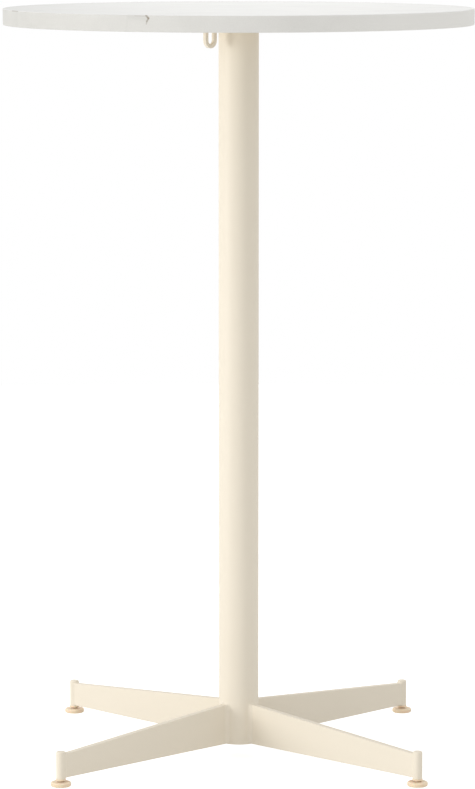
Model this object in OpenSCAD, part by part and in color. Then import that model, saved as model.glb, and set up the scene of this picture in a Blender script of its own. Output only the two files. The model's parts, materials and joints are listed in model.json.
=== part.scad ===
// Bar table: a round stone top on a welded steel pedestal. Four tapered blade legs
// are coped to a round column and end in drilled round posts, and a screw-adjusted
// plastic glide sits under each post. A bent eye for a bag hangs under the top.
// The origin is on the floor at the column's axis: +Z up, +X to the right, -Y to the front.

/* [Table] */
// Height of the top surface above the floor
table_h = 1120; // [720:5:1250]
// Distance from the column's axis to the axis of each foot
foot_reach = 367; // [250:1:450]
// Turn of the front right leg from straight right, clockwise seen from above
leg_turn = 45; // [30:1:60]

/* [Stone top] */
// Diameter of the stone top
top_d = 700; // [500:5:900]
// Thickness of the stone top
top_t = 24; // [20:1:40]
// Radius of the eased edges of the stone top
top_edge_r = 1.2; // [0.5:0.1:4]

/* [Mounting plate] */
// Thickness of the cross-shaped plate that carries the top
plate_t = 6; // [4:0.5:10]
// Width of each arm of the plate
arm_w = 48; // [40:1:70]
// Distance from the column's axis to the end of each arm
arm_reach = 205; // [195:1:240]
// Length of the slanted corners at the end of each arm
arm_chamfer = 13; // [4:1:18]
// Distance from the column's axis to where the slanted inner corners meet an arm
arm_gusset = 72; // [64:1:90]
// Distance of the inner row of screws from the column's axis
screw_row_in = 100; // [90:1:120]
// Distance of the outer row of screws from the ends of the arms
screw_row_end = 23; // [20:1:45]

/* [Top fasteners] */
// Thread diameter of the screws that hold the top
screw_d = 6; // [5:1:8]
// Whole length of a screw, its countersunk head included
screw_len = 16; // [13:1:18]
// Diameter of a screw's countersunk head
screw_head_d = 12; // [10:0.5:13]
// Height of the straight rim of the head, below its cone
screw_rim_h = 0.4; // [0.2:0.1:0.6]
// Width across flats of the key recess in the head
screw_key = 4; // [3:0.5:5]
// Depth of the key recess
screw_key_depth = 2.3; // [1.5:0.1:2.6]
// Diameter of the threaded insert set in the stone
insert_d = 10; // [9:0.5:12]
// Length of the threaded insert
insert_len = 13; // [11:0.5:15]

/* [Column] */
// Outer diameter of the column tube
column_d = 60; // [50:1:76]
// Wall of the column tube
column_wall = 2.5; // [1.5:0.1:4]
// Height of the column's lower end above the floor
column_lift = 10.5; // [8:0.5:14]
// Radius of the eased outer edge at the column's lower end
column_edge_r = 0.9; // [0.3:0.1:1.4]
// Length of the ribbed plug in the column's lower end
plug_len = 16; // [10:1:30]
// Thickness of the plug's walls and fins
plug_wall = 2; // [1.5:0.1:3]

/* [Legs] */
// Thickness of a blade leg
leg_t = 10; // [8:0.5:11]
// Height of the leg's upper edge at the column
leg_top_root = 71.5; // [60:0.5:100]
// Height of the leg's upper edge at the foot
leg_top_tip = 47; // [38:0.5:56]
// Height of the leg's lower edge at the column
leg_low_root = 11; // [10.5:0.5:20]
// Height of the leg's lower edge at the foot
leg_low_tip = 12.2; // [11.5:0.1:22]
// Radius of the leg's long edges
leg_edge_r = 1.2; // [0.4:0.1:2.5]
// Radius of the hollow welds up a leg's sides at the column
root_weld_r = 6; // [4:0.5:9]
// Radius of the hollow weld over a leg's upper edge at the column
root_over_r = 2.4; // [1:0.1:4]
// Radius of the hollow welds up a leg's sides at its post
tip_weld_r = 6; // [5:0.5:8]
// Radius of the hollow weld over a leg's upper edge at its post
tip_over_r = 1.6; // [1:0.1:2]
// Thickness of a weld's outer edges
weld_toe = 0.05; // [0.04:0.01:0.1]

/* [Foot posts] */
// Diameter of the round post at the end of a leg
post_d = 14; // [13:0.5:20]
// Height of the post above the leg's upper edge
post_proud = 4.7; // [2:0.1:10]
// Radius of the post's rounded upper edge
post_top_r = 2.5; // [1:0.1:4]

/* [Glides] */
// Diameter of the glide's pad
pad_d = 30; // [26:0.5:40]
// Height of the pad's rounded rim
pad_h = 6.6; // [6.4:0.1:9]
// Depth of the hollow ring in the pad's upper face
dish_depth = 0.5; // [0.3:0.1:2.4]
// Diameter of the boss between pad and collar
boss_d = 9; // [8.5:0.1:11]
// Gap between the floor and the post when the glide is screwed in
glide_h = 10.9; // [10:0.1:14]
// Height of the collar that turns the stud
collar_h = 1.9; // [1.5:0.1:2.5]
// Diameter of the collar, a little over the post's
collar_d = 15; // [14:0.5:20]
// Thread diameter of the glide's stud
stud_d = 8; // [6:0.5:8]
// Length of thread above the collar
stud_len = 28; // [24:0.5:28]
// Diameter of the stud's neck inside the boss
stud_neck_d = 6; // [5:0.25:6.5]
// Diameter of the stud's head inside the pad
stud_head_d = 9; // [8.5:0.1:9.5]
// Height of the stud's head inside the pad
stud_head_h = 2.6; // [2:0.1:3]

/* [Bag eye] */
// Width of the bent eye across both of its arms
eye_w = 23.5; // [22:0.5:30]
// Side of the square bar that the eye is bent from
eye_bar = 6; // [4.5:0.5:6.5]
// Depth of the eye below the stone
eye_drop = 34; // [28:0.5:60]
// Distance of the eye from the column's axis
eye_reach = 60; // [56:1:75]
// Radius of the bar's long edges
eye_edge_r = 1; // [0.4:0.1:1.6]

/* [Welds under the top] */
// Radius of the hollow weld between column and plate
head_weld_r = 5; // [3:0.5:8]
// Radius of the hollow weld between eye and plate
eye_weld_r = 2; // [1:0.25:3]

/* [Fits] */
// Gap all round a screw in its hole in the plate
screw_hole_gap = 0.3; // [0.2:0.05:0.6]
// Gap between a screw's countersunk head and its seat
screw_seat_gap = 0.05; // [0.03:0.01:0.1]
// Gap all round a thread in its tapped hole
thread_gap = 0.06; // [0.03:0.01:0.1]
// Gap all round the turning stud inside the pad
turn_gap = 0.2; // [0.15:0.05:0.3]
// Room left beyond the end of a screw or stud in its hole
end_gap = 2; // [1:0.5:3]

/* [Hidden] */
$fn = 64;

// Turns of the four legs, anticlockwise from +X
front_left = 180 + leg_turn;
front_right = -leg_turn;
back_right = leg_turn;
back_left = 180 - leg_turn;
LEG_TURNS = [front_left, front_right, back_right, back_left];

stone = [0.88, 0.88, 0.85];
powder_coat = [0.93, 0.89, 0.80];
nylon = [0.93, 0.81, 0.65];
zinc = [0.72, 0.73, 0.75];
brass = [0.79, 0.66, 0.38];

column_r = column_d / 2;
post_r = post_d / 2;
pad_r = pad_d / 2;
boss_r = boss_d / 2;
stone_under = table_h - top_t;
plate_under = stone_under - plate_t;
eye_under = stone_under - eye_drop;
post_top = leg_top_tip + post_proud;
post_low = glide_h;
collar_low = glide_h - collar_h;
boss_top = collar_low - turn_gap;
stud_top = post_low + stud_len;
stud_head_low = (boss_top - stud_head_h) / 2 - 1.2;
screw_rows = [screw_row_in, arm_reach - screw_row_end];
leg_top_slope = atan((leg_top_root - leg_top_tip) / (foot_reach - column_r));
// A solid runs this far into the one that is cut from it
cut_over = 1;

// Height of a leg's straight edge at a distance from the axis, from its ends at column and foot
function edge_height(root, tip, reach) =
    root + (tip - root) * (reach - column_r) / (foot_reach - column_r);

// Moves its child to one foot
module at_foot(turn) {
    rotate(turn) translate([foot_reach, 0, 0]) children();
}

// Moves its child to every screw of the top
module at_screws() {
    for (turn = LEG_TURNS)
        for (row = screw_rows)
            rotate(turn) translate([row, 0, 0]) children();
}

// Half section of a disc with one rounding at its lower and one at its upper edge
module disc_section(radius, low, high, low_r, high_r) {
    translate([0, low]) square([radius - max(low_r, high_r), high - low]);
    translate([0, low + low_r]) square([radius, high - low - low_r - high_r]);
    translate([radius - low_r, low + low_r]) circle(low_r);
    translate([radius - high_r, high - high_r]) circle(high_r);
    translate([0, low]) square([radius - low_r, low_r]);
    translate([0, high - high_r]) square([radius - high_r, high_r]);
}

// What a rounding takes off a square corner, which lies at the origin. The arc meets both sides
// at a slight angle, so that it crosses them cleanly.
module corner_waste(radius) {
    middle = -0.985 * radius;
    difference() {
        translate([middle, middle]) square(cut_over - middle);
        translate([middle, middle]) circle(radius);
    }
}

// Section of a hollow weld beside a leg: x runs out from the bar's axis and y across the leg
module weld_section(bar_r, weld_r) {
    inner = leg_t / 2;
    mid_y = leg_t / 2 + weld_r - weld_toe;
    mid_off = bar_r + weld_r - weld_toe;
    mid_x = sqrt(pow(mid_off, 2) - pow(mid_y, 2));
    difference() {
        polygon([[sqrt(pow(bar_r, 2) - pow(inner, 2)) - cut_over, inner], [mid_x, inner],
                 [mid_x, mid_y], [mid_x, mid_y] * (bar_r - cut_over) / mid_off]);
        translate([mid_x, mid_y]) circle(weld_r, $fn = 180);
    }
}

// Moves its children to the middle of a leg's rounded upper edges, leaning with them
module on_upper_edge(bar_r, top, slope) {
    translate([bar_r, 0, top]) rotate([0, slope, 0]) translate([-bar_r, 0, -leg_edge_r]) children();
}

// Round stone slab with eased edges and blind holes for the threaded inserts
module table_top() {
    color(stone) difference() {
        rotate_extrude($fn = 180) disc_section(top_d / 2, stone_under, table_h, top_edge_r, top_edge_r);
        at_screws() translate([0, 0, stone_under - cut_over])
            cylinder(d = insert_d, h = insert_len + end_gap + cut_over);
    }
}

// Brass sleeves bonded into the stone, with two rings round each for grip
module top_inserts() {
    ring_depth = 0.5;
    ring_h = insert_len / 6;
    color(brass) at_screws() difference() {
        translate([0, 0, stone_under]) cylinder(d = insert_d, h = insert_len);
        for (level = [1, 3]) translate([0, 0, stone_under + level * insert_len / 5])
            difference() {
                cylinder(d = insert_d + cut_over, h = ring_h);
                cylinder(d = insert_d - 2 * ring_depth, h = ring_h);
            }
        translate([0, 0, stone_under - cut_over])
            cylinder(d = screw_d + 2 * thread_gap, h = insert_len + 2 * cut_over);
    }
}

// Outline of the cross-shaped plate: four arms with slanted corners, inside and out
module plate_outline() {
    side = arm_w / 2;
    right = [[arm_gusset, -side], [arm_reach - arm_chamfer, -side], [arm_reach, arm_chamfer - side]];
    left = [[arm_reach, side - arm_chamfer], [arm_reach - arm_chamfer, side], [arm_gusset, side]];
    polygon([for (turn = LEG_TURNS) for (p = concat(right, left))
        [p[0] * cos(turn) - p[1] * sin(turn), p[0] * sin(turn) + p[1] * cos(turn)]]);
}

// Half section of a countersunk screw, or of its hole, for a head and shank of these radii
module screw_section(head_r, shank_r, low, high) {
    polygon([[0, low], [head_r, low], [head_r, screw_rim_h],
             [shank_r, screw_rim_h + head_r - shank_r], [shank_r, high], [0, high]]);
}

// Flat steel cross under the stone, drilled and countersunk for two screws in each arm
module mounting_plate() {
    color(powder_coat) difference() {
        translate([0, 0, plate_under]) linear_extrude(plate_t) plate_outline();
        at_screws() translate([0, 0, plate_under]) rotate_extrude()
            screw_section(screw_head_d / 2 + screw_seat_gap, screw_d / 2 + screw_hole_gap,
                          -cut_over, plate_t + cut_over);
    }
}

// Countersunk screws, flush with the plate, with a six-sided key recess
module plate_screws() {
    color(zinc) at_screws() translate([0, 0, plate_under]) difference() {
        rotate_extrude() screw_section(screw_head_d / 2, screw_d / 2, 0, screw_len);
        translate([0, 0, -cut_over])
            cylinder(d = screw_key * 2 / sqrt(3), h = screw_key_depth + cut_over, $fn = 6);
    }
}

// Round tube from just above the floor to the plate, its lower outer edge eased
module column_tube() {
    color(powder_coat) rotate_extrude($fn = 96) difference() {
        translate([column_r - column_wall, column_lift]) square([column_wall, plate_under - column_lift]);
        translate([column_r, column_lift]) mirror([0, 1]) corner_waste(column_edge_r);
    }
}

// Plastic plug pushed into the column's lower end: a cup with three thin fins round it
module column_plug() {
    bore_r = column_r - column_wall;
    fin_depth = 1.2;
    color(nylon) rotate_extrude($fn = 96) {
        translate([0, column_lift]) square([bore_r, plug_wall]);
        translate([bore_r - fin_depth - plug_wall, column_lift]) square([plug_wall, plug_len]);
        for (level = [1:3]) translate([bore_r - fin_depth, column_lift + level * plug_len / 4])
            square([fin_depth, plug_wall / 2]);
    }
}

// Hollow weld round the column's upper end, under the plate
module column_head_weld() {
    color(powder_coat) rotate_extrude($fn = 96) difference() {
        translate([column_r, plate_under - head_weld_r]) square(head_weld_r);
        translate([column_r + head_weld_r, plate_under - head_weld_r]) circle(head_weld_r);
    }
}

// Section of the eye's bar, a square with rounded corners
module eye_section() {
    inner = eye_bar - 2 * eye_edge_r;
    square([inner, eye_bar], center = true);
    square([eye_bar, inner], center = true);
    for (x = [-1, 1], y = [-1, 1]) translate([x, y] * inner / 2) circle(eye_edge_r, $fn = 32);
}

// U-shaped eye bent from square bar, its ends on the underside of the front left arm
module bag_eye() {
    bend_r = (eye_w - eye_bar) / 2;
    bend_mid = eye_under + eye_w / 2;
    color(powder_coat) rotate(front_left) translate([eye_reach, 0, bend_mid]) {
        rotate([90, 180, 0]) rotate_extrude(angle = 180, $fn = 96) translate([bend_r, 0]) eye_section();
        for (side = [-1, 1]) translate([side * bend_r, 0, 0])
            linear_extrude(plate_under - bend_mid) eye_section();
    }
}

// Small hollow welds round the eye's two ends
module bag_eye_welds() {
    bend_r = (eye_w - eye_bar) / 2;
    weld_side = eye_bar / 2;
    color(powder_coat) rotate(front_left) for (side = [-1, 1])
        translate([eye_reach + side * bend_r, 0, plate_under]) {
            for (turn = [0:90:270]) rotate(turn) rotate([90, 0, 0])
                linear_extrude(eye_bar - 2 * eye_edge_r, center = true)
                    translate([weld_side, 0]) difference() {
                        translate([0, -eye_weld_r]) square(eye_weld_r);
                        translate([eye_weld_r, -eye_weld_r]) circle(eye_weld_r);
                    }
            for (turn = [0:90:270]) rotate(turn)
                translate([weld_side - eye_edge_r, weld_side - eye_edge_r, 0])
                    rotate_extrude(angle = 90, $fn = 48) translate([eye_edge_r, 0]) difference() {
                        translate([0, -eye_weld_r]) square(eye_weld_r);
                        translate([eye_weld_r, -eye_weld_r]) circle(eye_weld_r);
                    }
        }
}

// Cutter that rounds one long edge of a leg: side is left or right, level is its upper or lower edge
module leg_edge_cutter(side, level) {
    root = level > 0 ? leg_top_root : leg_low_root;
    tip = level > 0 ? leg_top_tip : leg_low_tip;
    slope = atan2(tip - root, foot_reach - column_r);
    translate([0, side * leg_t / 2, edge_height(root, tip, 0)]) rotate([0, -slope, 0])
        rotate([90, 0, 90]) linear_extrude(foot_reach + column_r)
            scale([side, level]) corner_waste(leg_edge_r);
}

// Tapered blade on edge, from the column's axis to the foot's, with its long edges rounded
module leg_blade() {
    difference() {
        rotate([90, 0, 0]) linear_extrude(leg_t, center = true)
            polygon([[0, edge_height(leg_low_root, leg_low_tip, 0)],
                     [foot_reach, leg_low_tip],
                     [foot_reach, leg_top_tip],
                     [0, edge_height(leg_top_root, leg_top_tip, 0)]]);
        for (side = [-1, 1], level = [-1, 1]) leg_edge_cutter(side, level);
    }
}

// A blade coped to the column at its root and to the post at its tip
module leg(turn) {
    color(powder_coat) rotate(turn) difference() {
        leg_blade();
        cylinder(r = column_r, h = table_h, $fn = 96);
        translate([foot_reach, 0, 0]) cylinder(r = post_r, h = table_h);
    }
}

// Hollow welds between a round bar and a leg that runs out from it along +X: one up each side of
// the leg, and one over its upper edge, which falls by slope degrees
module leg_welds(bar_r, side_r, over_r, low, top, slope) {
    over_x = bar_r + over_r - weld_toe;
    over_z = over_r - weld_toe + leg_edge_r;
    difference() {
        union() {
            for (side = [0, 1]) mirror([0, side, 0]) difference() {
                translate([0, 0, low]) linear_extrude(top - low) weld_section(bar_r, side_r);
                on_upper_edge(bar_r, top, slope)
                    translate([0, -bar_r, 0]) cube([2 * bar_r, 3 * bar_r, bar_r]);
            }
            on_upper_edge(bar_r, top, slope) rotate([90, 0, 0])
                linear_extrude(leg_t - 2 * leg_edge_r, center = true) difference() {
                    translate([bar_r - cut_over, leg_edge_r])
                        square([over_x - bar_r + cut_over, over_z - leg_edge_r]);
                    translate([over_x, over_z]) circle(over_r, $fn = 180);
                }
        }
        cylinder(r = bar_r, h = 2 * top, $fn = 180);
    }
}

// Welds between a leg's root and the column
module leg_root_welds(turn) {
    color(powder_coat) rotate(turn)
        leg_welds(column_r, root_weld_r, root_over_r, leg_low_root + leg_edge_r, leg_top_root, leg_top_slope);
}

// Smaller welds between a leg's tip and its post, from which the leg rises
module leg_tip_welds(turn) {
    top = edge_height(leg_top_root, leg_top_tip, foot_reach - post_r);
    color(powder_coat) at_foot(turn) mirror([1, 0, 0])
        leg_welds(post_r, tip_weld_r, tip_over_r, leg_low_tip + leg_edge_r, top, -leg_top_slope);
}

// Round post at a leg's tip, closed above and tapped from below for the glide's stud
module foot_post(turn) {
    mouth = 0.6;
    color(powder_coat) at_foot(turn) difference() {
        rotate_extrude() disc_section(post_r, post_low, post_top, mouth, post_top_r);
        translate([0, 0, post_low - cut_over])
            cylinder(r = stud_d / 2 + thread_gap, h = stud_len + end_gap + cut_over);
    }
}

// Nylon pad with a fat rounded rim, a hollow ring round its boss and a seat for the stud's head
module glide_pad(turn) {
    rim_low_r = pad_h * 0.32;
    rim_top_r = pad_h * 0.34;
    rim_flat = 0.3;
    dish_half = (pad_r - rim_top_r - rim_flat - boss_r) / 2;
    dish_r = (pow(dish_half, 2) + pow(dish_depth, 2)) / (2 * dish_depth);
    color(nylon) at_foot(turn) rotate_extrude(convexity = 4) difference() {
        union() {
            disc_section(pad_r, 0, pad_h, rim_low_r, rim_top_r);
            square([boss_r, boss_top]);
        }
        translate([boss_r + dish_half, pad_h - dish_depth + dish_r]) intersection() {
            circle(dish_r, $fn = 180);
            square([2 * dish_half, 2 * dish_r + pad_h], center = true);
        }
        translate([0, stud_head_low - turn_gap])
            square([stud_head_d / 2 + turn_gap, stud_head_h + 2 * turn_gap]);
        translate([0, stud_head_low]) square([stud_neck_d / 2 + turn_gap, boss_top]);
    }
}

// Nylon ring fixed on the stud between boss and post, by which the stud is turned
module glide_collar(turn) {
    ease = 0.4;
    color(nylon) at_foot(turn) rotate_extrude() difference() {
        disc_section(collar_d / 2, collar_low, post_low, ease, ease);
        square([stud_neck_d / 2, post_low + cut_over]);
    }
}

// Steel stud: a head inside the pad, a neck through boss and collar, and a thread in the post
module glide_stud(turn) {
    tip = 0.8;
    color(zinc) at_foot(turn) rotate_extrude() {
        translate([0, stud_head_low]) square([stud_head_d / 2, stud_head_h]);
        translate([0, stud_head_low]) square([stud_neck_d / 2, post_low - stud_head_low]);
        polygon([[0, post_low], [stud_d / 2, post_low], [stud_d / 2, stud_top - tip],
                 [stud_d / 2 - tip, stud_top], [0, stud_top]]);
    }
}

table_top();
top_inserts();
mounting_plate();
plate_screws();
column_tube();
column_plug();
column_head_weld();
bag_eye();
bag_eye_welds();
leg(front_left);  // leg_front_left
leg(front_right);  // leg_front_right
leg(back_right);  // leg_back_right
leg(back_left);  // leg_back_left
leg_root_welds(front_left);  // leg_root_welds_front_left
leg_root_welds(front_right);  // leg_root_welds_front_right
leg_root_welds(back_right);  // leg_root_welds_back_right
leg_root_welds(back_left);  // leg_root_welds_back_left
leg_tip_welds(front_left);  // leg_tip_welds_front_left
leg_tip_welds(front_right);  // leg_tip_welds_front_right
leg_tip_welds(back_right);  // leg_tip_welds_back_right
leg_tip_welds(back_left);  // leg_tip_welds_back_left
foot_post(front_left);  // foot_post_front_left
foot_post(front_right);  // foot_post_front_right
foot_post(back_right);  // foot_post_back_right
foot_post(back_left);  // foot_post_back_left
glide_pad(front_left);  // glide_pad_front_left
glide_pad(front_right);  // glide_pad_front_right
glide_pad(back_right);  // glide_pad_back_right
glide_pad(back_left);  // glide_pad_back_left
glide_collar(front_left);  // glide_collar_front_left
glide_collar(front_right);  // glide_collar_front_right
glide_collar(back_right);  // glide_collar_back_right
glide_collar(back_left);  // glide_collar_back_left
glide_stud(front_left);  // glide_stud_front_left
glide_stud(front_right);  // glide_stud_front_right
glide_stud(back_right);  // glide_stud_back_right
glide_stud(back_left);  // glide_stud_back_left
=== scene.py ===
"""The bar table's looks: a pale stone top on a cream powder-coated pedestal with screw glides.

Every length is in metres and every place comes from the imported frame. Turned, welded and threaded
pieces are surfaces of two parameters, worked out as whole arrays.
"""
import json
import math

import bpy
import numpy as np
from mathutils import Matrix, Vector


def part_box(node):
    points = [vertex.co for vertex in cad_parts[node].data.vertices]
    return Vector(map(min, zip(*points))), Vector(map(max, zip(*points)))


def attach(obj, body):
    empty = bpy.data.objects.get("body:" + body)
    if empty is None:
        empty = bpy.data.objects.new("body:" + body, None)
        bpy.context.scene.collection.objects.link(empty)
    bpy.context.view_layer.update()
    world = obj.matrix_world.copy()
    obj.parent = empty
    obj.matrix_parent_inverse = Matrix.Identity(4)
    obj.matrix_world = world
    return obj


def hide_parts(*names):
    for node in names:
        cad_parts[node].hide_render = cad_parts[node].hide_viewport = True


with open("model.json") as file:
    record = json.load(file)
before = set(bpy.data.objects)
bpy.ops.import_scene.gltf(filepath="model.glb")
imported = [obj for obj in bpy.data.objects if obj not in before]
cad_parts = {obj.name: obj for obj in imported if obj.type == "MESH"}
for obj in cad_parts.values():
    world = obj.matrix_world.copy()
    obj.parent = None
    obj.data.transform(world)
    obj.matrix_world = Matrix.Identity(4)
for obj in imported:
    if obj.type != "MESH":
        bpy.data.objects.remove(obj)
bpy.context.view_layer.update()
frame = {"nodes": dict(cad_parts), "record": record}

MM = 0.001
TURN = 2 * math.pi

# Camera, matched to the photograph

PHOTO_H = 789
FOCAL_PX = 3937.67
CAMERA_AT = (-0.01768, -5.87284, 1.29888)
CAMERA_PITCH = 0.1283
CAMERA_YAW = 0.0027


def facing(right, up, back, place):
    """The matrix of something at place that looks along -back, from three unit vectors."""
    matrix = np.eye(4)
    matrix[:3] = np.column_stack([right, up, back, place])
    return Matrix(matrix.tolist())


def make_camera():
    """Camera that looks down by CAMERA_PITCH and is turned to the right by CAMERA_YAW, in radians."""
    level_reach = math.cos(CAMERA_PITCH)
    ahead = np.array([
        math.sin(CAMERA_YAW) * level_reach,
        math.cos(CAMERA_YAW) * level_reach,
        -math.sin(CAMERA_PITCH),
    ])
    right = np.array([math.cos(CAMERA_YAW), -math.sin(CAMERA_YAW), 0.0])
    up = np.cross(right, ahead)
    data = bpy.data.cameras.new("camera")
    data.lens = FOCAL_PX / PHOTO_H * data.sensor_width
    camera = bpy.data.objects.new("camera", data)
    bpy.context.scene.collection.objects.link(camera)
    camera.matrix_world = facing(right, up, -ahead, CAMERA_AT)
    bpy.context.scene.camera = camera


make_camera()
bpy.context.scene.view_settings.view_transform = "Standard"

# Sizes of the steel, the stone and their welds

FEET = ("front_left", "front_right", "back_right", "back_left")
LEG_T = 10 * MM
LEG_EDGE_R = 1.2 * MM
LEG_LOW_ROOT = 11 * MM
LEG_LOW_TIP = 12.2 * MM
LEG_TOP_FALL = 24.5 * MM
ROOT_WELD_R = 6 * MM
ROOT_OVER_R = 2.4 * MM
TIP_WELD_R = 6 * MM
TIP_OVER_R = 1.6 * MM
WELD_FLATNESS = 0.55
HEAD_WELD_R = 5 * MM
TUBE_WALL = 2.5 * MM
TUBE_EDGE_R = 0.9 * MM
EYE_BAR = 6 * MM
EYE_WELD_R = 2 * MM
EYE_REACH = 60 * MM
EYE_WIDTH = 23.5 * MM
STONE_EDGE_R = 1.2 * MM
ARRIS_WANDER = 0.06 * MM
BRUISE_DEPTH = 0.3 * MM
BRUISE_W = 1.4 * MM
BRUISE_ANGLES = (0.31, 1.02, 1.93, 2.44, 3.37, 3.71, 4.12, 4.66, 5.03, 5.52, 6.05)

# Sizes of the screws and glides

SCREW_ROW_IN = 100 * MM
SCREW_R = 2.98 * MM
SCREW_ROOT_R = 2.45 * MM
SCREW_PITCH = 1.0 * MM
SCREW_HEAD_R = 6 * MM
SCREW_RIM_H = 0.4 * MM
SCREW_LEN = 16 * MM
KEY_ACROSS = 4 * MM
KEY_DEPTH = 2.3 * MM
PAD_H = 6.6 * MM
DISH_DEPTH = 0.5 * MM
BOSS_R = 4.5 * MM
PAD_BORE_R = 3.2 * MM
PAD_POCKET_R = 4.7 * MM
PAD_POCKET_H = 3.0 * MM
TURN_GAP = 0.2 * MM
COLLAR_BORE_R = 3.1 * MM
COLLAR_EASE = 0.4 * MM
FLUTES = 24
FLUTE_DEPTH = 0.12 * MM
STUD_HEAD_R = 4.5 * MM
STUD_HEAD_H = 2.6 * MM
STUD_HEAD_EASE = 0.3 * MM
STUD_NECK_R = 3.0 * MM
STUD_ROOT_R = 3.35 * MM
STUD_CREST_R = 3.97 * MM
STUD_PITCH = 1.25 * MM
# Radius about a foot's axis of the painted shade in the recess between pad and collar
RECESS_SHADE_R = 6.6 * MM


def middle(node):
    """Centre of a node's box, seen from above."""
    low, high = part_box(node)
    return (low.x + high.x) / 2, (low.y + high.y) / 2


def radius_of(node):
    """Radius of a round node."""
    low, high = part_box(node)
    return (high.x - low.x) / 2


# Sizes and places from the frame

COLUMN_R = radius_of("column_tube")
COLUMN_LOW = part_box("column_tube")[0].z
PLATE_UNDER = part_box("mounting_plate")[0].z
STONE_R = radius_of("table_top")
STONE_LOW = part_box("table_top")[0].z
STONE_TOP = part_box("table_top")[1].z
POST_R = radius_of("foot_post_front_left")
POST_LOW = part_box("foot_post_front_left")[0].z
COLLAR_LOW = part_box("glide_collar_front_left")[0].z
FOOT_REACH = math.hypot(*middle("foot_post_front_left"))
LEG_TOP_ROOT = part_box("leg_front_left")[1].z
LEG_TOP_TIP = LEG_TOP_ROOT - LEG_TOP_FALL
LEG_FALL = (LEG_TOP_ROOT - LEG_TOP_TIP) / (FOOT_REACH - COLUMN_R)
SCREW_ROW_OUT = math.sqrt(2) * (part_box("plate_screws")[1].x - SCREW_HEAD_R)

# Meshes from whole arrays


def put_mesh(name, points, quads, triangles, crease):
    """A smooth piece with its outside facing out.

    Its signed volume is a sixth of the sum of a . (b x c) over its triangles. Where that comes out
    negative, every face is turned over. Edges that bend by more than crease degrees stay sharp.
    """
    fans = np.vstack([quads[:, [0, 1, 2]], quads[:, [0, 2, 3]], triangles])
    a, b, c = points[fans[:, 0]], points[fans[:, 1]], points[fans[:, 2]]
    if np.einsum("ij,ij->", a, np.cross(b, c)) < 0:
        quads, triangles = quads[:, ::-1], triangles[:, ::-1]
    corners = np.concatenate([quads.ravel(), triangles.ravel()])
    after_quads = 4 * len(quads)
    starts = np.concatenate([4 * np.arange(len(quads)), after_quads + 3 * np.arange(len(triangles))])
    mesh = bpy.data.meshes.new(name)
    mesh.vertices.add(len(points))
    mesh.vertices.foreach_set("co", points.ravel())
    mesh.loops.add(len(corners))
    mesh.loops.foreach_set("vertex_index", corners)
    mesh.polygons.add(len(starts))
    mesh.polygons.foreach_set("loop_start", starts)
    mesh.update(calc_edges=True)
    mesh.shade_smooth()
    mesh.set_sharp_from_angle(angle=math.radians(crease))
    piece = bpy.data.objects.new(name, mesh)
    bpy.context.scene.collection.objects.link(piece)
    return piece


def skin(name, grid, loop=False, poles=None, crease=40.0):
    """Closed surface over grid[along, around].

    Around always joins up. Along joins up too if loop is set. Otherwise each end closes in a fan to
    its pole, which is the middle of the end row unless it is given.
    """
    rows, count = grid.shape[:2]
    index = np.arange(rows * count).reshape(rows, count)
    near = index if loop else index[:-1]
    far = np.roll(index, -1, axis=0) if loop else index[1:]
    near_next, far_next = np.roll(near, -1, axis=1), np.roll(far, -1, axis=1)
    quads = np.stack([near, near_next, far_next, far], axis=-1).reshape(-1, 4)
    points = grid.reshape(-1, 3)
    if loop:
        return put_mesh(name, points, quads, np.zeros((0, 3), int), crease)
    if poles is None:
        poles = (grid[0].mean(axis=0), grid[-1].mean(axis=0))
    first, last = index[0], index[-1]
    pole = np.full(count, rows * count)
    start_fan = np.column_stack([pole, np.roll(first, -1), first])
    end_fan = np.column_stack([pole + 1, last, np.roll(last, -1)])
    return put_mesh(name, np.vstack([points, poles]), quads, np.vstack([start_fan, end_fan]), crease)


def arc(r, z, radius, start, end, steps):
    """Points (r, z) on an arc, from start to end degrees."""
    angle = np.radians(np.linspace(start, end, steps))
    return np.column_stack([r + radius * np.cos(angle), z + radius * np.sin(angle)])


def outline(*runs):
    """Runs of points (r, z) joined into one outline, less any point within 1 micron of the one before."""
    points = np.vstack([np.atleast_2d(run) for run in runs])
    steps = np.linalg.norm(np.diff(points, axis=0), axis=1)
    return points[np.concatenate([[True], steps > 1e-6])]


def lathe(name, outline_r, outline_z, centre=(0.0, 0.0), segments=96, crease=40.0):
    """Turned body: (v, t) -> centre + (r cos t, r sin t, z), where r may vary with t as well as with v.

    An outline that starts on the axis has a pole at each end. Any other joins up with its start.
    """
    height = np.asarray(outline_z, float)[:, None] * np.ones(segments)
    radius = np.asarray(outline_r, float).reshape(len(height), -1) * np.ones(segments)
    t = around(segments)
    grid = np.stack([centre[0] + radius * np.cos(t), centre[1] + radius * np.sin(t), height], axis=-1)
    if radius[0].max() > 1e-7:
        return skin(name, grid, loop=True, crease=crease)
    return skin(name, grid[1:-1], poles=(grid[0, 0], grid[-1, 0]), crease=crease)


def around(segments):
    """Angles that go once round in equal steps, in radians."""
    return TURN * np.arange(segments) / segments


def turned(points, angle, shift=0.0):
    """points moved out along X by shift, then turned about the column's axis by angle radians."""
    x = points[..., 0] + shift
    y = points[..., 1]
    turned_x = x * math.cos(angle) - y * math.sin(angle)
    turned_y = x * math.sin(angle) + y * math.cos(angle)
    return np.stack([turned_x, turned_y, points[..., 2]], axis=-1)


# Stone top


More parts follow.
